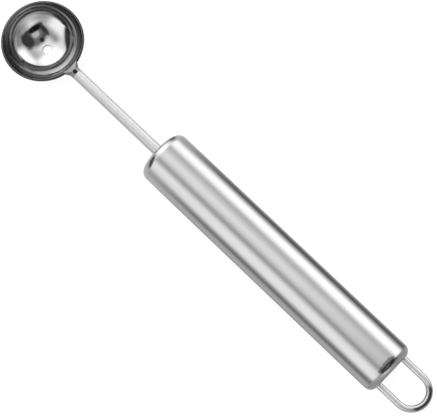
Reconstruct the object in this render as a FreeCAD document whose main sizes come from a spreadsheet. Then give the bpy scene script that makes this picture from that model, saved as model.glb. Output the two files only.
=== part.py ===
import FreeCAD, Part

import math
import os

import Sketcher
from FreeCAD import Placement, Rotation, Vector

# A stainless steel ball scoop, the corer that turns balls out of vegetables and melons.
# A pressed round bowl is butt-welded to a round shank. The shank enters a tubular handle that two
# coined caps close, and a bent wire loop at the back hangs the tool on a hook.
# Lengths are in millimetres. +X points from the handle to the bowl, +Z points up out of the bowl's
# mouth, and the tool lies level on z = 0 on its tube and on the bottom of its bowl. The origin is
# under the middle of its length.
SIZES = {
    # Handle: a plain tube between two caps. The length is measured over both caps.
    "handle_length": 110.3,
    "tube_diameter": 20.0,
    "tube_wall": 0.7,
    # Caps: a round-cornered cup with a rebated skirt that slides into the tube.
    "cap_wall": 0.8,
    "cap_corner": 3.0,
    "cap_land": 0.8,
    "skirt_length": 5.0,
    "skirt_clearance": 0.05,
    # Shank: the round rod that carries the bowl.
    "shank_diameter": 4.0,
    "shank_reach": 44.1,
    "shank_tail": 12.0,
    "shank_chamfer": 0.4,
    "hole_clearance": 0.05,
    "shank_weld_leg": 0.7,
    "shank_weld_hollow": 1.05,
    # Bowl: a flat-bottomed cup whose side curves more, measured outside at the foot of the bevel
    # that sharpens its rim. The hole in the bottom lets air in.
    "bowl_diameter": 29.94,
    "bowl_depth": 12.0,
    "bowl_wall": 0.7,
    "bottom_radius": 16.6,
    "bottom_reach": 10.8,
    "rim_bevel": 0.7,
    "rim_land": 0.1,
    "vent_diameter": 3.4,
    "vent_round": 0.15,
    # Weld between bowl and shank: a mound on the bowl's wall, ground flush with the rim.
    "weld_gap": 2.7,
    "weld_spread": 3.9,
    "weld_neck": 1.5,
    "weld_height": 2.2,
    "weld_root": 1.0,
    "crater_radius": 0.85,
    "crater_depth": 0.75,
    "crater_distance": 1.83,
    # Hanging loop: a U of wire whose legs pass through the rear cap.
    "wire_diameter": 2.4,
    "loop_bend": 6.15,
    "loop_leg": 9.0,
    "loop_tail": 6.0,
    "loop_weld_leg": 0.7,
    "loop_weld_slope": 0.5,
}

doc = FreeCAD.newDocument("ball_scoop")
sheet = doc.addObject("Spreadsheet::Sheet", "sizes")
for row, (alias, size) in enumerate(SIZES.items(), start=1):
    sheet.set(f"A{row}", alias)
    sheet.set(f"B{row}", str(size))
    sheet.setAlias(f"B{row}", alias)
doc.recompute()

# Places and sizes that follow from the driving ones, as expressions on the sheet.
TUBE_RADIUS = "(sizes.tube_diameter / 2)"
TUBE_BORE_RADIUS = f"({TUBE_RADIUS} - sizes.tube_wall)"
CAP_REACH = "(sizes.cap_corner + sizes.cap_land)"
CAP_FLAT_RADIUS = f"({TUBE_RADIUS} - sizes.cap_corner)"
SKIRT_RADIUS = f"({TUBE_BORE_RADIUS} - sizes.skirt_clearance)"
CAP_INNER_RADIUS = f"({SKIRT_RADIUS} - sizes.cap_wall)"
CAP_INNER_CORNER = f"({CAP_INNER_RADIUS} - {CAP_FLAT_RADIUS})"
SHANK_RADIUS = "(sizes.shank_diameter / 2)"
SHANK_HOLE_RADIUS = f"({SHANK_RADIUS} + sizes.hole_clearance)"
WIRE_RADIUS = "(sizes.wire_diameter / 2)"
WIRE_HOLE_RADIUS = f"({WIRE_RADIUS} + sizes.hole_clearance)"
BOWL_RADIUS = "(sizes.bowl_diameter / 2)"
BEVEL_FOOT = "(sizes.bowl_depth - sizes.rim_bevel)"
# The arc of the bottom touches the ground. The arc of the side leaves it without a kink, at the
# bottom's reach from the bowl's axis, and ends at the foot of the bevel.
BOTTOM_SINE = "(sizes.bottom_reach / sizes.bottom_radius)"
BOTTOM_COSINE = f"sqrt(1 - {BOTTOM_SINE}^2)"
SIDE_FOOT = f"(sizes.bottom_radius * (1 - {BOTTOM_COSINE}))"
SIDE_RUN = f"({BOWL_RADIUS} - sizes.bottom_reach)"
SIDE_RISE = f"({BEVEL_FOOT} - {SIDE_FOOT})"
SIDE_RADIUS = (f"(({SIDE_RUN}^2 + {SIDE_RISE}^2)"
               f" / (2 * ({BOTTOM_COSINE} * {SIDE_RISE} - {BOTTOM_SINE} * {SIDE_RUN})))")
SIDE_X = f"((sizes.bottom_radius - {SIDE_RADIUS}) * {BOTTOM_SINE})"
SIDE_Z = f"(sizes.bottom_radius - (sizes.bottom_radius - {SIDE_RADIUS}) * {BOTTOM_COSINE})"
# The inner face runs at one wall's distance from the outer one, up to the level of the rim.
INNER_RIM_RADIUS = (f"({SIDE_X} + sqrt(({SIDE_RADIUS} - sizes.bowl_wall)^2"
                    f" - ({SIDE_Z} - sizes.bowl_depth)^2))")
LAND_RADIUS = f"({INNER_RIM_RADIUS} + sizes.rim_land)"
# The rim lies level with the top of the shank.
BOWL_Z = f"({TUBE_RADIUS} + {SHANK_RADIUS} - sizes.bowl_depth)"
# Height of the side's centre over the shank's axis, and where that axis leaves the bowl's wall.
CENTRE_RISE = f"({BOWL_Z} + {SIDE_Z} - {TUBE_RADIUS})"
JOINT_REACH = f"({SIDE_X} + sqrt({SIDE_RADIUS}^2 - {CENTRE_RISE}^2))"
SHANK_END = f"({BOWL_RADIUS} + sizes.weld_gap)"
LOOP_REACH = f"(sizes.loop_leg + sizes.loop_bend + {WIRE_RADIUS})"
TOTAL_LENGTH = f"({LOOP_REACH} + sizes.handle_length + sizes.shank_reach + sizes.bowl_diameter)"
BOWL_X = f"({TOTAL_LENGTH} / 2 - {BOWL_RADIUS})"
FRONT_X = f"({BOWL_X} - {BOWL_RADIUS} - sizes.shank_reach)"
REAR_X = f"({FRONT_X} - sizes.handle_length)"

BACK_TO_FRONT = Rotation(Vector(0, 0, 1), 180)
ALONG_X = Rotation()
MICROMETRE = 0.001


def value(expression):
    """Present value of an expression on the sheet, as a plain number."""
    result = sheet.evalExpression(expression.replace("sizes.", ""))
    return float(getattr(result, "Value", result))


def place(piece, x, z, turn=ALONG_X):
    """Puts a piece at x and z in the tool's frame, with the given turn."""
    piece.Placement = Placement(Vector(0, 0, 0), turn)
    piece.setExpression("Placement.Base.x", x)
    piece.setExpression("Placement.Base.z", z)


def new_body(label):
    """An empty body with the name of the piece that it holds."""
    body = doc.addObject("PartDesign::Body", label)
    body.Label = label
    return body


def sketch_on(body, role, name):
    """A sketch on one of the body's own origin planes."""
    sketch = body.newObject("Sketcher::SketchObject", name)
    plane = next(item for item in body.Origin.OriginFeatures if item.Role == role)
    sketch.AttachmentSupport = [(plane, "")]
    sketch.MapMode = "FlatFace"
    return sketch


def drive(sketch, kind, *target, by):
    """Adds a dimension to a sketch and binds it to an expression on the sheet."""
    index = sketch.addConstraint(Sketcher.Constraint(kind, *target, value(by)))
    sketch.setExpression(f"Constraints[{index}]", by)


def draw_outline(sketch, corners):
    """Draws a closed outline through corners given as (x, y) or (x, y, arc centre x, arc centre y).

    A corner with a centre is joined to the next one by an arc about that centre, the short way
    round, and the others by straight lines. Every corner is held by its distances from the origin.
    """
    points = [Vector(value(corner[0]), value(corner[1]), 0) for corner in corners]
    starts = []
    for index, corner in enumerate(corners):
        here = points[index]
        there = points[(index + 1) % len(points)]
        if len(corner) == 2:
            edge = sketch.addGeometry(Part.LineSegment(here, there), False)
            starts.append((edge, 1, 2))
            continue
        centre = Vector(value(corner[2]), value(corner[3]), 0)
        angle_here = math.atan2(here.y - centre.y, here.x - centre.x)
        angle_there = math.atan2(there.y - centre.y, there.x - centre.x)
        counter_clockwise = (angle_there - angle_here) % (2 * math.pi) < math.pi
        first, last = (angle_here, angle_there) if counter_clockwise else (angle_there, angle_here)
        circle = Part.Circle(centre, Vector(0, 0, 1), (here - centre).Length)
        edge = sketch.addGeometry(Part.ArcOfCircle(circle, first, last), False)
        starts.append((edge, 1, 2) if counter_clockwise else (edge, 2, 1))
    for index, corner in enumerate(corners):
        edge, start, end = starts[index]
        next_edge, next_start, _ = starts[(index + 1) % len(starts)]
        sketch.addConstraint(Sketcher.Constraint("Coincident", edge, end, next_edge, next_start))
        for kind, expression in (("DistanceX", corner[0]), ("DistanceY", corner[1])):
            drive(sketch, kind, edge, start, by=expression)
        if len(corner) == 4:
            radius = f"sqrt(({corner[0]} - {corner[2]})^2 + ({corner[1]} - {corner[3]})^2)"
            drive(sketch, "Radius", edge, by=radius)


def draw_circle(sketch, radius, x="0", y="0"):
    """Draws a circle held by its radius and its centre's distances from the origin."""
    centre = Vector(value(x), value(y), 0)
    edge = sketch.addGeometry(Part.Circle(centre, Vector(0, 0, 1), value(radius)), False)
    drive(sketch, "Radius", edge, by=radius)
    drive(sketch, "DistanceX", edge, 3, by=x)
    drive(sketch, "DistanceY", edge, 3, by=y)


def revolve(body, sketch, name, axis):
    """Turns a sketch once round one of its axes."""
    feature = body.newObject("PartDesign::Revolution", name)
    feature.Profile = sketch
    feature.ReferenceAxis = (sketch, [axis])
    feature.Angle = 360
    doc.recompute()
    return feature


def pad(body, sketch, name, length):
    """Pushes a sketch out along its normal."""
    feature = body.newObject("PartDesign::Pad", name)
    feature.Profile = sketch
    feature.setExpression("Length", length)
    doc.recompute()
    return feature


def cut_through(body, sketch, name):
    """Cuts a sketch through everything on the side that its normal points to."""
    before = body.Shape.Volume
    feature = body.newObject("PartDesign::Pocket", name)
    feature.Profile = sketch
    feature.Type = "ThroughAll"
    feature.Reversed = True
    doc.recompute()
    if body.Shape.Volume >= before:
        raise RuntimeError(f"{name} cuts nothing")
    return feature


def round_edges(body, name, radius, wanted, kind="PartDesign::Fillet", size="Radius"):
    """Rounds, or with another kind chamfers, the circular edges that a test picks."""
    base = body.Tip
    edges = []
    for index, edge in enumerate(base.Shape.Edges, start=1):
        if isinstance(edge.Curve, Part.Circle) and wanted(edge.Curve):
            edges.append(f"Edge{index}")
    if not edges:
        raise RuntimeError(f"{name} finds no edge")
    feature = body.newObject(kind, name)
    feature.Base = (base, edges)
    feature.setExpression(size, radius)
    doc.recompute()
    return feature


def is_near(first, second):
    """True where two lengths agree to a micrometre."""
    return abs(first - second) < MICROMETRE


def make_handle_tube():
    """Plain drawn tube, cut square, that butts against the shoulders of both caps."""
    body = new_body("handle_tube")
    section = sketch_on(body, "YZ_Plane", "tube_section")
    draw_circle(section, TUBE_RADIUS)
    draw_circle(section, TUBE_BORE_RADIUS)
    pad(body, section, "tube_length", f"sizes.handle_length - 2 * {CAP_REACH}")
    place(body, f"{REAR_X} + {CAP_REACH}", TUBE_RADIUS)
    return body


def make_cap(label):
    """Cap blank: the outer face is at x = 0 and the skirt points along +X, into the tube."""
    body = new_body(label)
    profile = sketch_on(body, "XY_Plane", f"{label}_profile")
    skirt_end = f"({CAP_REACH} + sizes.skirt_length)"
    inner_corner_x = f"(sizes.cap_wall + {CAP_INNER_CORNER})"
    draw_outline(profile, [
        ("0", "0"),
        ("0", CAP_FLAT_RADIUS, "sizes.cap_corner", CAP_FLAT_RADIUS),
        ("sizes.cap_corner", TUBE_RADIUS),
        (CAP_REACH, TUBE_RADIUS),
        (CAP_REACH, SKIRT_RADIUS),
        (skirt_end, SKIRT_RADIUS),
        (skirt_end, CAP_INNER_RADIUS),
        (inner_corner_x, CAP_INNER_RADIUS, inner_corner_x, CAP_FLAT_RADIUS),
        ("sizes.cap_wall", CAP_FLAT_RADIUS),
        ("sizes.cap_wall", "0"),
    ])
    revolve(body, profile, f"{label}_blank", "H_Axis")
    return body


def make_front_cap():
    """Cap at the bowl's end, pierced in the middle for the shank."""
    body = make_cap("front_cap")
    hole = sketch_on(body, "YZ_Plane", "shank_hole_outline")
    draw_circle(hole, SHANK_HOLE_RADIUS)
    cut_through(body, hole, "shank_hole")
    place(body, FRONT_X, TUBE_RADIUS, BACK_TO_FRONT)
    return body


def make_end_cap():
    """Cap at the loop's end, pierced twice, so close to its corner that the holes break into it."""
    body = make_cap("end_cap")
    holes = sketch_on(body, "YZ_Plane", "leg_hole_outlines")
    draw_circle(holes, WIRE_HOLE_RADIUS, x="sizes.loop_bend")
    draw_circle(holes, WIRE_HOLE_RADIUS, x="-sizes.loop_bend")
    cut_through(body, holes, "leg_holes")
    place(body, REAR_X, TUBE_RADIUS)
    return body


def make_shank():
    """Round rod from its tail inside the handle to the flat face where the bowl's weld begins."""
    body = new_body("shank")
    section = sketch_on(body, "YZ_Plane", "shank_section")
    draw_circle(section, SHANK_RADIUS)
    pad(body, section, "shank_length", "sizes.shank_tail + sizes.shank_reach - sizes.weld_gap")
    round_edges(body, "shank_tail_chamfer", "sizes.shank_chamfer",
                lambda circle: is_near(circle.Center.x, 0), "PartDesign::Chamfer", "Size")
    place(body, f"{FRONT_X} - sizes.shank_tail", TUBE_RADIUS)
    return body


def make_shank_weld():
    """Small fillet of weld in the corner between the shank and the front cap's face."""
    body = new_body("shank_weld")
    profile = sketch_on(body, "XY_Plane", "shank_weld_profile")
    toe = f"({SHANK_RADIUS} + sizes.shank_weld_leg)"
    hollow = "sizes.shank_weld_hollow"
    draw_outline(profile, [
        ("0", SHANK_RADIUS),
        ("sizes.shank_weld_leg", SHANK_RADIUS, hollow, f"{SHANK_RADIUS} + {hollow}"),
        ("0", toe),
    ])
    revolve(body, profile, "shank_weld_ring", "H_Axis")
    place(body, FRONT_X, TUBE_RADIUS)
    return body


# Outside of the bowl from its bottom to the rim, as (distance from its axis, height) corners.
BOWL_OUTSIDE = [
    ("0", "0", "0", "sizes.bottom_radius"),
    ("sizes.bottom_reach", SIDE_FOOT, SIDE_X, SIDE_Z),
    (BOWL_RADIUS, BEVEL_FOOT),
    (LAND_RADIUS, "sizes.bowl_depth"),
]


def make_scoop_bowl():
    """Pressed bowl with a sharpened rim and a vent hole, drawn with its bottom at z = 0."""
    body = new_body("scoop_bowl")
    profile = sketch_on(body, "XZ_Plane", "bowl_profile")
    inner_radius = "(sizes.bottom_radius - sizes.bowl_wall)"
    draw_outline(profile, BOWL_OUTSIDE + [
        (INNER_RIM_RADIUS, "sizes.bowl_depth", SIDE_X, SIDE_Z),
        (f"{inner_radius} * {BOTTOM_SINE}", f"sizes.bottom_radius - {inner_radius} * {BOTTOM_COSINE}",
         "0", "sizes.bottom_radius"),
        ("0", "sizes.bowl_wall"),
    ])
    revolve(body, profile, "bowl_shell", "V_Axis")
    vent = sketch_on(body, "XY_Plane", "vent_outline")
    draw_circle(vent, "sizes.vent_diameter / 2")
    cut_through(body, vent, "vent_hole")
    vent_radius = value("sizes.vent_diameter / 2")
    wall_top = value("sizes.bowl_wall")
    round_edges(body, "vent_lip", "sizes.vent_round",
                lambda circle: is_near(circle.Radius, vent_radius) and circle.Center.z > wall_top / 2)
    place(body, BOWL_X, BOWL_Z)
    return body


def make_bowl_form():
    """The room that the bowl takes up with its hollow, which no weld enters."""
    body = new_body("bowl_form")
    profile = sketch_on(body, "XZ_Plane", "bowl_form_profile")
    draw_outline(profile, BOWL_OUTSIDE + [("0", "sizes.bowl_depth")])
    revolve(body, profile, "bowl_room", "V_Axis")
    place(body, BOWL_X, BOWL_Z)
    return body


def cut_by(label, blank, tool):
    """A blank cut back to the surface of the piece that it is welded to."""
    piece = doc.addObject("Part::Cut", label)
    piece.Base = blank
    piece.Tool = tool
    doc.recompute()
    return piece


def make_bowl_weld():
    """Weld that joins shank and bowl, drawn with the shank's axis on X and the bowl's axis on Z.

    Its mound stands square on the bowl's wall and the stub of the shank's diameter runs out of it.
    Both are ground off level with the rim, and a small crater is left on top.
    """
    body = new_body("bowl_weld_blank")
    mound = sketch_on(body, "XZ_Plane", "mound_profile")
    mound.setExpression("AttachmentOffset.Base.x", SIDE_X)
    mound.setExpression("AttachmentOffset.Base.y", CENTRE_RISE)
    mound.setExpression("AttachmentOffset.Rotation.Angle", f"-asin({CENTRE_RISE} / {SIDE_RADIUS})")
    doc.recompute()
    foot = f"(sqrt({SIDE_RADIUS}^2 - sizes.weld_spread^2) - sizes.weld_root)"
    crest = f"({SIDE_RADIUS} + sizes.weld_height)"
    draw_outline(mound, [
        (foot, "0"),
        (foot, "sizes.weld_spread"),
        (crest, "sizes.weld_neck"),
        (crest, "0"),
    ])
    revolve(body, mound, "mound", "H_Axis")
    section = sketch_on(body, "YZ_Plane", "stub_section")
    section.setExpression("AttachmentOffset.Base.z", JOINT_REACH)
    doc.recompute()
    draw_circle(section, SHANK_RADIUS)
    pad(body, section, "stub", f"{SHANK_END} - {JOINT_REACH}")
    level = sketch_on(body, "XY_Plane", "grinding_outline")
    level.setExpression("AttachmentOffset.Base.z", SHANK_RADIUS)
    doc.recompute()
    draw_circle(level, SHANK_END, x=BOWL_RADIUS)
    cut_through(body, level, "grinding")
    crater = body.newObject("PartDesign::SubtractiveSphere", "crater")
    crater.setExpression("Radius", "sizes.crater_radius")
    crater.setExpression("Placement.Base.x", f"{BOWL_RADIUS} + sizes.crater_distance")
    crater.setExpression("Placement.Base.z", f"{SHANK_RADIUS} + sizes.crater_radius - sizes.crater_depth")
    doc.recompute()
    place(body, BOWL_X, TUBE_RADIUS, BACK_TO_FRONT)
    return cut_by("bowl_weld", body, make_bowl_form())


def make_hanging_loop():
    """Wire bent into a U, drawn from the ends of its two legs at x = 0 outwards along +X."""
    body = new_body("hanging_loop")
    path = sketch_on(body, "XY_Plane", "loop_path")
    bend_x = "(sizes.loop_tail + sizes.loop_leg)"
    bend = Vector(value(bend_x), 0, 0)
    radius = value("sizes.loop_bend")
    legs = []
    for side in (1, -1):
        y = side * radius
        leg = path.addGeometry(Part.LineSegment(Vector(0, y, 0), Vector(bend.x, y, 0)), False)
        drive(path, "DistanceX", leg, 1, by="0")
        drive(path, "DistanceY", leg, 1, by=f"{side} * sizes.loop_bend")
        drive(path, "DistanceX", leg, 2, by=bend_x)
        drive(path, "DistanceY", leg, 2, by=f"{side} * sizes.loop_bend")
        legs.append(leg)
    circle = Part.Circle(bend, Vector(0, 0, 1), radius)
    arc = path.addGeometry(Part.ArcOfCircle(circle, -math.pi / 2, math.pi / 2), False)
    path.addConstraint(Sketcher.Constraint("Coincident", arc, 2, legs[0], 2))
    path.addConstraint(Sketcher.Constraint("Coincident", arc, 1, legs[1], 2))
    drive(path, "DistanceX", arc, 3, by=bend_x)
    section = sketch_on(body, "YZ_Plane", "wire_section")
    draw_circle(section, WIRE_RADIUS, x="sizes.loop_bend")
    doc.recompute()
    wire = body.newObject("PartDesign::AdditivePipe", "wire")
    wire.Profile = section
    wire.Spine = (path, [])
    doc.recompute()
    place(body, f"{REAR_X} + sizes.loop_tail", TUBE_RADIUS, BACK_TO_FRONT)
    return body


def make_loop_welds(end_cap):
    """Two rings of weld that hold the legs of the loop to the inner face of the end cap."""
    body = new_body("loop_welds_blank")
    rings = sketch_on(body, "YZ_Plane", "ring_outlines")
    rings.setExpression("AttachmentOffset.Base.z", "sizes.cap_wall")
    doc.recompute()
    for side in (1, -1):
        for radius in (f"{WIRE_HOLE_RADIUS} + sizes.loop_weld_leg", WIRE_RADIUS):
            draw_circle(rings, radius, x=f"{side} * sizes.loop_bend")
    pad(body, rings, "rings", "sizes.loop_weld_leg")
    outer_radius = value(f"{WIRE_HOLE_RADIUS} + sizes.loop_weld_leg")
    ring_top = value("sizes.cap_wall + sizes.loop_weld_leg")
    round_edges(body, "ring_slopes", "sizes.loop_weld_slope",
                lambda circle: is_near(circle.Radius, outer_radius) and is_near(circle.Center.x, ring_top),
                "PartDesign::Chamfer", "Size")
    place(body, REAR_X, TUBE_RADIUS)
    return cut_by("loop_welds", body, end_cap)


end_cap = make_end_cap()
pieces = [
    make_scoop_bowl(),
    make_bowl_weld(),
    make_shank(),
    make_shank_weld(),
    make_front_cap(),
    make_handle_tube(),
    end_cap,
    make_hanging_loop(),
    make_loop_welds(end_cap),
]
doc.recompute()

for item in doc.Objects:
    if "Invalid" in item.State or "Error" in item.State:
        raise RuntimeError(f"{item.Label} failed to build: {item.State}")
for piece in pieces:
    if piece.Shape.isNull() or not piece.Shape.isValid():
        raise RuntimeError(f"{piece.Label} has no valid shape")

os.makedirs("parts", exist_ok=True)
for piece in pieces:
    piece.Shape.exportStep(f"parts/{piece.Label}.step")
    print(f"{piece.Label}: {len(piece.Shape.Solids)} solid(s), {piece.Shape.Volume:.2f} mm3")
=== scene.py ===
import math

import bpy
from mathutils import Matrix, Vector


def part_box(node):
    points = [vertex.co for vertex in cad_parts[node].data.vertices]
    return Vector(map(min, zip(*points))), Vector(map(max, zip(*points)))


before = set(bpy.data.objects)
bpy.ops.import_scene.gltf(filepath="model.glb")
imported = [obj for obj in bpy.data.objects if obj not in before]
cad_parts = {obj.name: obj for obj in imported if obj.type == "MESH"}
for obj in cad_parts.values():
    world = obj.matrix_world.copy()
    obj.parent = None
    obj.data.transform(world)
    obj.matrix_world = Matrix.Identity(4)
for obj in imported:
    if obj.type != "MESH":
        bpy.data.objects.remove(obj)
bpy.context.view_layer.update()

# Scoop bowl: a round cup pressed from stainless sheet and polished inside and out. Its wall has a darker
# grey than the bottom, a painted shade that darkens what the wall mirrors. Its rim is ground to a dull
# bevel, coloured near black as a painted shade. Use leaves cloudy patches and hairline scratches.
bowl_low, bowl_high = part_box("scoop_bowl")
BOWL_RADIUS = (bowl_high[0] - bowl_low[0]) / 2
BOWL_AXIS = (bowl_high[0] - BOWL_RADIUS, 0.0, 0.0)
RIM_LEVEL = bowl_high[2]
BOTTOM_GREY = 0.58
SHADED_WALL_GREY = 0.47
BOWL_DRIFT = 0.02
BOWL_ROUGHNESS = (0.07, 0.13)
WALL_START_RADIUS = (0.0105, 0.0111)
BEVEL_SHADE_GREY = 0.09
BEVEL_ROUGHNESS = 0.45
BEVEL_START_RADIUS = (BOWL_RADIUS - 0.00061, BOWL_RADIUS - 0.00053)
BEVEL_START_HEIGHT = (RIM_LEVEL - 0.00085, RIM_LEVEL - 0.00070)
BOWL_CLOUDS = {"stretch": (260.0, 260.0, 260.0), "detail": 3.0}
BOWL_HAIRLINES = {"stretch": (900.0, 5200.0, 900.0), "detail": 2.0, "turn": (0.0, 0.0, 0.6)}
HAIRLINE_DEPTH = 0.00001
HAIRLINE_STRENGTH = 0.15


def new_steel(name):
    """An empty steel material: its tree, its shader and the object's own coordinates."""
    steel = bpy.data.materials.new(name)
    steel.use_nodes = True
    tree = steel.node_tree
    shader = tree.nodes["Principled BSDF"]
    shader.inputs["Metallic"].default_value = 1.0
    coordinates = tree.nodes.new("ShaderNodeTexCoord")
    return steel, tree, shader, coordinates.outputs["Object"]


def grain(tree, where, stretch, detail=4.0, turn=(0.0, 0.0, 0.0)):
    """Noise stretched by three scales, as a value between 0 and 1."""
    mapping = tree.nodes.new("ShaderNodeMapping")
    mapping.inputs["Scale"].default_value = stretch
    mapping.inputs["Rotation"].default_value = turn
    noise = tree.nodes.new("ShaderNodeTexNoise")
    noise.inputs["Scale"].default_value = 1.0
    noise.inputs["Detail"].default_value = detail
    noise.inputs["Roughness"].default_value = 0.6
    tree.links.new(where, mapping.inputs["Vector"])
    tree.links.new(mapping.outputs["Vector"], noise.inputs["Vector"])
    return noise.outputs["Fac"]


def spread(tree, value, low, high, start=0.3, end=0.7):
    """The value moved from start..end to low..high. Most of a grain lies between 0.3 and 0.7."""
    ranged = tree.nodes.new("ShaderNodeMapRange")
    ranged.inputs["From Min"].default_value = start
    ranged.inputs["From Max"].default_value = end
    ranged.inputs["To Min"].default_value = low
    ranged.inputs["To Max"].default_value = high
    tree.links.new(value, ranged.inputs["Value"])
    return ranged.outputs["Result"]


def drifting(tree, value, grey, drift):
    """A grey that drifts down and up a little with a grain."""
    return spread(tree, value, grey - drift, grey + drift)


def blend(tree, share, first, second):
    """first where the share is 0, second where it is 1. Both are numbers or sockets."""
    mixed = tree.nodes.new("ShaderNodeMix")
    tree.links.new(share, mixed.inputs["Factor"])
    for value, socket in ((first, mixed.inputs["A"]), (second, mixed.inputs["B"])):
        if isinstance(value, float):
            socket.default_value = value
        else:
            tree.links.new(value, socket)
    return mixed.outputs["Result"]


def distance(tree, where, centre):
    """Distance from a point."""
    measure = tree.nodes.new("ShaderNodeVectorMath")
    measure.operation = "DISTANCE"
    measure.inputs[1].default_value = centre
    tree.links.new(where, measure.inputs[0])
    return measure.outputs["Value"]


def product(tree, first, second):
    """Two values multiplied."""
    times = tree.nodes.new("ShaderNodeMath")
    times.operation = "MULTIPLY"
    tree.links.new(first, times.inputs[0])
    tree.links.new(second, times.inputs[1])
    return times.outputs["Value"]


def relief(tree, shader, value, depth, strength):
    """Raises the surface by the value, depth in metres."""
    bump = tree.nodes.new("ShaderNodeBump")
    bump.inputs["Distance"].default_value = depth
    bump.inputs["Strength"].default_value = strength
    tree.links.new(value, bump.inputs["Height"])
    tree.links.new(bump.outputs["Normal"], shader.inputs["Normal"])


def dress(node, steel):
    """Gives a node of the frame its steel."""
    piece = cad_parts[node]
    for place in piece.material_slots:
        place.material = steel


def bevel_share(tree, axes, radius):
    """1 on the ground bevel of the rim, where its painted shade goes, 0 on the rest of the bowl."""
    outside = spread(tree, radius, 0.0, 1.0, *BEVEL_START_RADIUS)
    upper = spread(tree, axes.outputs["Z"], 0.0, 1.0, *BEVEL_START_HEIGHT)
    return product(tree, outside, upper)


def polished_bowl_steel():
    steel, tree, shader, where = new_steel("bowl_polished_steel")
    clouds = grain(tree, where, **BOWL_CLOUDS)
    hairlines = grain(tree, where, **BOWL_HAIRLINES)
    axes = tree.nodes.new("ShaderNodeSeparateXYZ")
    level = tree.nodes.new("ShaderNodeCombineXYZ")
    tree.links.new(where, axes.inputs["Vector"])
    tree.links.new(axes.outputs["X"], level.inputs["X"])
    tree.links.new(axes.outputs["Y"], level.inputs["Y"])
    radius = distance(tree, level.outputs["Vector"], BOWL_AXIS)
    wall = spread(tree, radius, 0.0, 1.0, *WALL_START_RADIUS)
    bottom_grey = drifting(tree, clouds, BOTTOM_GREY, BOWL_DRIFT)
    # The wall's darker grey is a painted shade that darkens what the wall mirrors.
    shaded_wall_grey = drifting(tree, clouds, SHADED_WALL_GREY, BOWL_DRIFT)
    grey = blend(tree, wall, bottom_grey, shaded_wall_grey)
    polish = spread(tree, clouds, *BOWL_ROUGHNESS)
    bevel = bevel_share(tree, axes, radius)
    # The bevel's near-black grey is a painted shade, standing in for the dark that the rim mirrors.
    tree.links.new(blend(tree, bevel, grey, BEVEL_SHADE_GREY), shader.inputs["Base Color"])
    tree.links.new(blend(tree, bevel, polish, BEVEL_ROUGHNESS), shader.inputs["Roughness"])
    relief(tree, shader, hairlines, HAIRLINE_DEPTH, HAIRLINE_STRENGTH)
    return steel


dress("scoop_bowl", polished_bowl_steel())

# Bowl weld: the fan of weld metal that joins bowl and shank, ground level with the rim and left
# with coarse grinding marks, so it is duller than the bowl. The pit in its top is coloured near black,
# a painted shade. The small ring of weld where the shank enters the handle is finished the same way.
WELD_GREY = 0.32
WELD_DRIFT = 0.05
WELD_ROUGHNESS = (0.35, 0.50)
PIT_CENTRE = (bowl_low[0] - 0.00183, 0.0, RIM_LEVEL + 0.0001)
PIT_REACH = 0.00088
PIT_SOFT = 0.1
PIT_SHADE_GREY = 0.02
PIT_ROUGHNESS = 0.8
WELD_PATCHES = {"stretch": (420.0, 420.0, 420.0)}
GRINDING_MARKS = {"stretch": (600.0, 4200.0, 600.0), "detail": 3.0, "turn": (0.0, 0.0, 0.9)}
GRINDING_DEPTH = 0.00004
GRINDING_STRENGTH = 0.35


def step(tree, value, start, end):
    """0 at start and before it, 1 at end and past it, smooth in between."""
    ranged = tree.nodes.new("ShaderNodeMapRange")
    ranged.interpolation_type = "SMOOTHSTEP"
    ranged.inputs["From Min"].default_value = start
    ranged.inputs["From Max"].default_value = end
    tree.links.new(value, ranged.inputs["Value"])
    return ranged.outputs["Result"]


def inside(tree, where, centre, halves, soft, turn=0.0, ragged=None):
    """1 inside an ellipse or egg with these half widths, 0 outside it. A grain makes its edge ragged."""
    local = tree.nodes.new("ShaderNodeMapping")
    local.vector_type = "TEXTURE"
    local.inputs["Location"].default_value = centre
    local.inputs["Rotation"].default_value = (0, 0, math.radians(turn))
    local.inputs["Scale"].default_value = halves
    tree.links.new(where, local.inputs["Vector"])
    away = distance(tree, local.outputs["Vector"], (0, 0, 0))
    if ragged is not None:
        away = product(tree, away, spread(tree, ragged, 0.7, 1.3))
    return step(tree, away, 1 + soft, 1 - soft)


def ground_weld_steel():
    steel, tree, shader, where = new_steel("ground_weld_steel")
    marks = grain(tree, where, **GRINDING_MARKS)
    patches = grain(tree, where, **WELD_PATCHES)
    pit_shade = inside(tree, where, PIT_CENTRE, (PIT_REACH,) * 3, PIT_SOFT)
    grey = drifting(tree, patches, WELD_GREY, WELD_DRIFT)
    rough = spread(tree, marks, *WELD_ROUGHNESS)
    # The pit's near-black grey is a painted shade standing in for the shade in the recess.
    tree.links.new(blend(tree, pit_shade, grey, PIT_SHADE_GREY), shader.inputs["Base Color"])
    tree.links.new(blend(tree, pit_shade, rough, PIT_ROUGHNESS), shader.inputs["Roughness"])
    relief(tree, shader, marks, GRINDING_DEPTH, GRINDING_STRENGTH)
    return steel


weld_steel = ground_weld_steel()
dress("bowl_weld", weld_steel)
dress("shank_weld", weld_steel)

# Shank: a cold drawn 4 mm rod, welded to the bowl and into the front cap. It is brushed along its
# length, which blurs what it mirrors to an even light grey.
ROD_GREY = 0.60
ROD_DRIFT = 0.03
ROD_ROUGHNESS = (0.34, 0.42)
ROD_ANISOTROPY = 0.4
ROD_LINES = {"stretch": (160.0, 5200.0, 5200.0), "detail": 3.0}
ROD_SPOTS = {"stretch": (500.0, 500.0, 500.0)}
ROD_LINE_DEPTH = 0.00002
ROD_LINE_STRENGTH = 0.3


def brush_along(tree, shader, strength):
    """Blurs what a round bar along X mirrors across its length, as brushing along it does."""
    across = tree.nodes.new("ShaderNodeTangent")
    across.direction_type = "RADIAL"
    across.axis = "X"
    shader.inputs["Anisotropic"].default_value = strength
    tree.links.new(across.outputs["Tangent"], shader.inputs["Tangent"])


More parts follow.
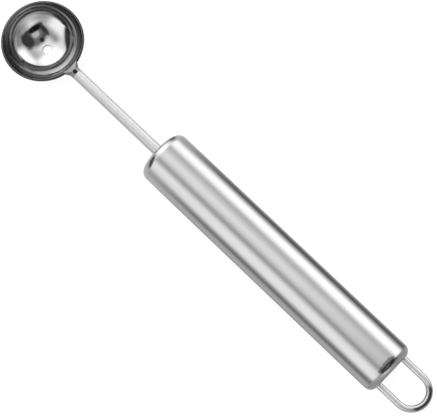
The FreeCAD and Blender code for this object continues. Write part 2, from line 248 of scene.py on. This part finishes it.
def drawn_rod_steel():
    steel, tree, shader, where = new_steel("drawn_rod_steel")
    lines = grain(tree, where, **ROD_LINES)
    spots = grain(tree, where, **ROD_SPOTS)
    tree.links.new(drifting(tree, spots, ROD_GREY, ROD_DRIFT), shader.inputs["Base Color"])
    tree.links.new(spread(tree, lines, *ROD_ROUGHNESS), shader.inputs["Roughness"])
    relief(tree, shader, lines, ROD_LINE_DEPTH, ROD_LINE_STRENGTH)
    brush_along(tree, shader, ROD_ANISOTROPY)
    return steel


dress("shank", drawn_rod_steel())

# Handle: a drawn tube closed by two pressed caps, brushed along its length as one piece after
# welding, so that the seams are gone and long soft bands of light run from end to end. A dark ragged
# patch of painted shade lies on the end cap, standing in for the darker light its shape mirrors.
HANDLE_GREY = 0.52
HANDLE_DRIFT = 0.015
HANDLE_ROUGHNESS = (0.17, 0.23)
HANDLE_ANISOTROPY = 0.55
HANDLE_BRUSHING = {"stretch": (90.0, 4600.0, 4600.0)}
HANDLE_SMEARS = {"stretch": (28.0, 160.0, 160.0), "detail": 3.0}
BRUSHING_DEPTH = 0.00001
BRUSHING_STRENGTH = 0.2
END_CAP_SHADE_CENTRE = (-0.0813, 0.0002, 0.0190)
END_CAP_SHADE_HALVES = (0.0013, 0.0039, 0.0040)
END_CAP_SHADE_SOFT = 0.12
END_CAP_SHADE_GREY = 0.20
END_CAP_SHADE_EDGE = {"stretch": (1800.0, 1800.0, 1800.0)}


def brushed_handle_steel():
    steel, tree, shader, where = new_steel("brushed_handle_steel")
    brushing = grain(tree, where, **HANDLE_BRUSHING)
    smears = grain(tree, where, **HANDLE_SMEARS)
    edge = grain(tree, where, **END_CAP_SHADE_EDGE)
    end_cap_shade = inside(tree, where, END_CAP_SHADE_CENTRE, END_CAP_SHADE_HALVES, END_CAP_SHADE_SOFT, ragged=edge)
    grey = drifting(tree, smears, HANDLE_GREY, HANDLE_DRIFT)
    # The ragged patch on the end cap is painted shade: its dark grey stands in for a dark reflection.
    tree.links.new(blend(tree, end_cap_shade, grey, END_CAP_SHADE_GREY), shader.inputs["Base Color"])
    tree.links.new(spread(tree, brushing, *HANDLE_ROUGHNESS), shader.inputs["Roughness"])
    relief(tree, shader, brushing, BRUSHING_DEPTH, BRUSHING_STRENGTH)
    brush_along(tree, shader, HANDLE_ANISOTROPY)
    return steel


handle_steel = brushed_handle_steel()
for node in ("handle_tube", "front_cap", "end_cap"):
    dress(node, handle_steel)

# Hanging loop: a U of bright drawn wire, held by two rings of weld inside the end cap. A dark
# painted reflection runs along the top of the bend, standing in for the dark things the bend mirrors.
WIRE_GREY = 0.62
WIRE_DRIFT = 0.03
WIRE_ROUGHNESS = (0.33, 0.41)
WIRE_LINES = {"stretch": (700.0, 2600.0, 2600.0), "detail": 3.0}
WIRE_SPOTS = {"stretch": (600.0, 600.0, 600.0)}
WIRE_LINE_DEPTH = 0.00001
WIRE_LINE_STRENGTH = 0.2
BEND_OUTSIDE = 0.00735
BEND_AXIS = (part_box("hanging_loop")[0][0] + BEND_OUTSIDE, 0.0, 0.0)
BEND_REFLECTION_OUTSIDE = 0.0070
BEND_REFLECTION_INSIDE = 0.0058
BEND_REFLECTION_CENTRE = (-0.0992, -0.0009, 0.0112)
BEND_REFLECTION_REACH = 0.0052
BEND_REFLECTION_SIDE_SOFT = 0.05
BEND_REFLECTION_END_SOFT = 0.15
BEND_REFLECTION_GREY = 0.10


def bend_disc(tree, where, radius):
    """1 nearer to the bend's axis than this radius, 0 past it."""
    return inside(tree, where, BEND_AXIS, (radius, radius, 1.0), BEND_REFLECTION_SIDE_SOFT)


def bright_wire_steel():
    steel, tree, shader, where = new_steel("bright_wire_steel")
    lines = grain(tree, where, **WIRE_LINES)
    spots = grain(tree, where, **WIRE_SPOTS)
    inner = bend_disc(tree, where, BEND_REFLECTION_INSIDE)
    outer = bend_disc(tree, where, BEND_REFLECTION_OUTSIDE)
    band = blend(tree, inner, outer, 0.0)
    middle = inside(tree, where, BEND_REFLECTION_CENTRE, (BEND_REFLECTION_REACH,) * 3, BEND_REFLECTION_END_SOFT)
    bend_reflection = product(tree, band, middle)
    grey = drifting(tree, spots, WIRE_GREY, WIRE_DRIFT)
    # The band on the bend is a painted reflection: its dark grey stands in for the dark that the bend
    # mirrors.
    tree.links.new(blend(tree, bend_reflection, grey, BEND_REFLECTION_GREY), shader.inputs["Base Color"])
    tree.links.new(spread(tree, lines, *WIRE_ROUGHNESS), shader.inputs["Roughness"])
    relief(tree, shader, lines, WIRE_LINE_DEPTH, WIRE_LINE_STRENGTH)
    return steel


dress("hanging_loop", bright_wire_steel())
dress("loop_welds", weld_steel)

# Table: a wide sheet of white paper under the part. It shines white by itself to the camera, and the
# tent's light adds the rest, which the soft shadow takes away again. Steel mirrors the tent's own
# picture of the table instead of this sheet.
TABLE_SIZE = 6.0
TABLE_GREY = 0.30
TABLE_SHINE = 0.80


def white_paper():
    paper = bpy.data.materials.new("white_paper")
    paper.use_nodes = True
    tree = paper.node_tree
    tree.nodes.clear()
    output = tree.nodes.new("ShaderNodeOutputMaterial")
    total = tree.nodes.new("ShaderNodeAddShader")
    surface = tree.nodes.new("ShaderNodeBsdfDiffuse")
    surface.inputs["Color"].default_value = (TABLE_GREY, TABLE_GREY, TABLE_GREY, 1)
    shine = tree.nodes.new("ShaderNodeEmission")
    path = tree.nodes.new("ShaderNodeLightPath")
    level = tree.nodes.new("ShaderNodeMath")
    level.operation = "MULTIPLY"
    level.inputs[1].default_value = TABLE_SHINE
    tree.links.new(path.outputs["Is Camera Ray"], level.inputs[0])
    tree.links.new(level.outputs["Value"], shine.inputs["Strength"])
    tree.links.new(surface.outputs["BSDF"], total.inputs[0])
    tree.links.new(shine.outputs["Emission"], total.inputs[1])
    tree.links.new(total.outputs["Shader"], output.inputs["Surface"])
    return paper


def make_table():
    mesh = bpy.data.meshes.new("table")
    half = TABLE_SIZE / 2
    corners = [(-half, -half, 0), (half, -half, 0), (half, half, 0), (-half, half, 0)]
    mesh.from_pydata(corners, [], [(0, 1, 2, 3)])
    mesh.materials.append(white_paper())
    table = bpy.data.objects.new("table", mesh)
    bpy.context.scene.collection.objects.link(table)
    table.visible_glossy = False


make_table()

# Light tent: white cloth round the table, which the steel mirrors. Long panels run beside the
# handle. Past the bowl the cloth is brighter, and behind the loop it hangs open to a dim room.
# These angles are degrees from straight up, turned about the handle, positive to the +Y side.
HALF_TURN = 180.0
SIDE_PANELS = [
    (-180, 0.14),
    (-154, 0.62),
    (-139, 0.42),
    (-123, 0.08),
    (-114, 0.09),
    (-99, 0.66),
    (-84, 2.00),
    (-61, 2.00),
    (-39, 0.72),
    (-4, 1.42),
    (10, 1.26),
    (29, 0.46),
    (52, 1.50),
    (78, 1.50),
    (93, 0.52),
    (103, 0.11),
    (112, 0.34),
    (123, 0.74),
    (146, 0.66),
    (180, 0.14),
]
# The ends are drawn on a map of the directions, with straight up in its middle. A direction lies
# as many degrees from the middle as it leans from straight up, east of it towards the bowl. The
# panels of each end follow each other from south, the -Y side, to north.
FRONT_PANELS = [
    (-180, 1.10),
    (-104, 0.75),
    (-84, 1.10),
    (-48, 1.40),
    (-34, 1.90),
    (-16, 2.20),
    (0, 2.10),
    (12, 1.65),
    (24, 1.25),
    (36, 1.05),
    (48, 1.15),
    (72, 0.60),
    (96, 0.75),
    (120, 1.10),
    (180, 1.10),
]
BACK_PANELS = [
    (-180, 1.10),
    (-124, 1.00),
    (-94, 0.62),
    (-64, 0.38),
    (-34, 0.40),
    (-14, 0.60),
    (12, 1.20),
    (46, 0.65),
    (86, 0.85),
    (180, 1.10),
]
# Each end takes over from the side panels between two places east on the map.
FRONT_START = (14, 36)
BACK_START = (-10, -38)
# Below the horizon the steel mirrors the table, dark beside the handle and lighter past its ends.
# At the front it changes where this share of a direction points along the handle.
HORIZON = (80, 96)
TABLE_FRONT = (0.195, 0.205)
FRONT_TABLE = 0.80
BACK_TABLE = 0.50
# Things in the tent that the steel mirrors darkly: the camera with its stand, and folds and gaps of
# the cloth. Each is centre, half widths and turn in degrees on the map, its light and how soft.
SHADES = [
    ((-26, -2), (24, 36), 0, 0.23, 0.30),
    ((-31.5, 1.5), (9, 11), 0, 0.75, 0.30),
    ((-43.5, 12), (8.5, 26), -10, 0.00, 0.15),
    ((-24, 27), (20, 6.5), -8, 0.05, 0.15),
    ((-14, 15), (5, 7), 0, 0.12, 0.30),
    ((-9.5, 3.5), (6.5, 6.5), 0, 0.02, 0.15),
    ((-49.5, -14), (4.5, 10), 0, 0.07, 0.20),
    ((-14, -35), (6, 8), 0, 0.24, 0.30),
    ((-32, -27), (20, 16), 0, 0.055, 0.15),
    ((57, 50), (44, 19), -42, 0.06, 0.20),
    ((86, -68), (34, 16), 10, 0.20, 0.25),
]
LEAST_ACROSS = 0.0001


def math_of(tree, operation, *values):
    """Result of one operation on sockets or numbers."""
    result = tree.nodes.new("ShaderNodeMath")
    result.operation = operation
    for value, socket in zip(values, result.inputs):
        if isinstance(value, float):
            socket.default_value = value
        else:
            tree.links.new(value, socket)
    return result.outputs["Value"]


def panels_along(tree, value, panels):
    """Light of a row of panels at a value in degrees, from -180 to 180."""
    share = spread(tree, value, 0.0, 1.0, -HALF_TURN, HALF_TURN)
    ramp = tree.nodes.new("ShaderNodeValToRGB")
    ramp.color_ramp.interpolation = "EASE"
    elements = ramp.color_ramp.elements
    while len(elements) < len(panels):
        elements.new(0.5)
    for element, (angle, light) in zip(elements, panels):
        element.position = (angle + HALF_TURN) / (2 * HALF_TURN)
        element.color = (light, light, light, 1)
    tree.links.new(share, ramp.inputs["Fac"])
    return ramp.outputs["Color"]


def direction_map(tree, x, y, z):
    """Place of a direction on the map: its lean, and how much of it goes east and north."""
    lean = math_of(tree, "DEGREES", math_of(tree, "ARCCOSINE", z))
    across = math_of(tree, "SQRT", math_of(tree, "SUBTRACT", 1.0, math_of(tree, "MULTIPLY", z, z)))
    scale = math_of(tree, "DIVIDE", lean, math_of(tree, "MAXIMUM", across, LEAST_ACROSS))
    return lean, math_of(tree, "MULTIPLY", x, scale), math_of(tree, "MULTIPLY", y, scale)


def cloth_light(tree):
    """Light of the tent in every direction: side panels, both ends, the table and the shades."""
    place = tree.nodes.new("ShaderNodeTexCoord")
    axes = tree.nodes.new("ShaderNodeSeparateXYZ")
    tree.links.new(place.outputs["Generated"], axes.inputs["Vector"])
    x, y, z = (axes.outputs[name] for name in "XYZ")
    turn = math_of(tree, "DEGREES", math_of(tree, "ARCTAN2", y, z))
    lean, east, north = direction_map(tree, x, y, z)
    low = step(tree, lean, *HORIZON)
    front = blend(tree, low, panels_along(tree, north, FRONT_PANELS), FRONT_TABLE)
    back = blend(tree, low, panels_along(tree, north, BACK_PANELS), BACK_TABLE)
    front_share = blend(tree, low, step(tree, east, *FRONT_START), step(tree, x, *TABLE_FRONT))
    level = blend(tree, front_share, panels_along(tree, turn, SIDE_PANELS), front)
    level = blend(tree, step(tree, east, *BACK_START), level, back)
    spot = tree.nodes.new("ShaderNodeCombineXYZ")
    tree.links.new(east, spot.inputs["X"])
    tree.links.new(north, spot.inputs["Y"])
    for centre, halves, angle, light, soft in SHADES:
        here = inside(tree, spot.outputs["Vector"], (*centre, 0), (*halves, 1), soft, angle)
        level = blend(tree, here, level, light)
    return level


def make_tent():
    """The steel mirrors the cloth. Everything else sees, and is lit by, an even white."""
    world = bpy.data.worlds.new("light_tent")
    bpy.context.scene.world = world
    world.use_nodes = True
    tree = world.node_tree
    tree.nodes.clear()
    cloth = tree.nodes.new("ShaderNodeBackground")
    tree.links.new(cloth_light(tree), cloth.inputs["Color"])
    white = tree.nodes.new("ShaderNodeBackground")
    white.inputs["Color"].default_value = (1, 1, 1, 1)
    path = tree.nodes.new("ShaderNodeLightPath")
    shown = tree.nodes.new("ShaderNodeMixShader")
    tree.links.new(path.outputs["Is Glossy Ray"], shown.inputs["Fac"])
    tree.links.new(white.outputs["Background"], shown.inputs[1])
    tree.links.new(cloth.outputs["Background"], shown.inputs[2])
    output = tree.nodes.new("ShaderNodeOutputWorld")
    tree.links.new(shown.outputs["Shader"], output.inputs["Surface"])


make_tent()

# Camera: a long lens high above the end cap, looking almost straight down. The part lies from the
# upper left to the lower right of the picture.
CAMERA_AT = Vector((-0.07904, 0.04935, 0.47327))
CAMERA_RIGHT = Vector((-0.71611, -0.69658, -0.04429))
CAMERA_UP = Vector((0.67881, -0.70981, 0.18810))
CAMERA_BACK = Vector((-0.16246, 0.10464, 0.98115))
CAMERA_SENSOR = 36.0
CAMERA_FOCUS_WIDTHS = 1357.0 / 437.0
CAMERA_NEAREST = 0.01


def make_camera():
    camera = bpy.data.objects.new("camera", bpy.data.cameras.new("camera"))
    bpy.context.scene.collection.objects.link(camera)
    turned = Matrix((CAMERA_RIGHT, CAMERA_UP, CAMERA_BACK)).transposed()
    camera.matrix_world = Matrix.Translation(CAMERA_AT) @ turned.to_4x4()
    camera.data.sensor_width = CAMERA_SENSOR
    camera.data.lens = CAMERA_SENSOR * CAMERA_FOCUS_WIDTHS
    camera.data.clip_start = CAMERA_NEAREST
    bpy.context.scene.camera = camera


make_camera()
bpy.context.scene.view_settings.view_transform = "Standard"
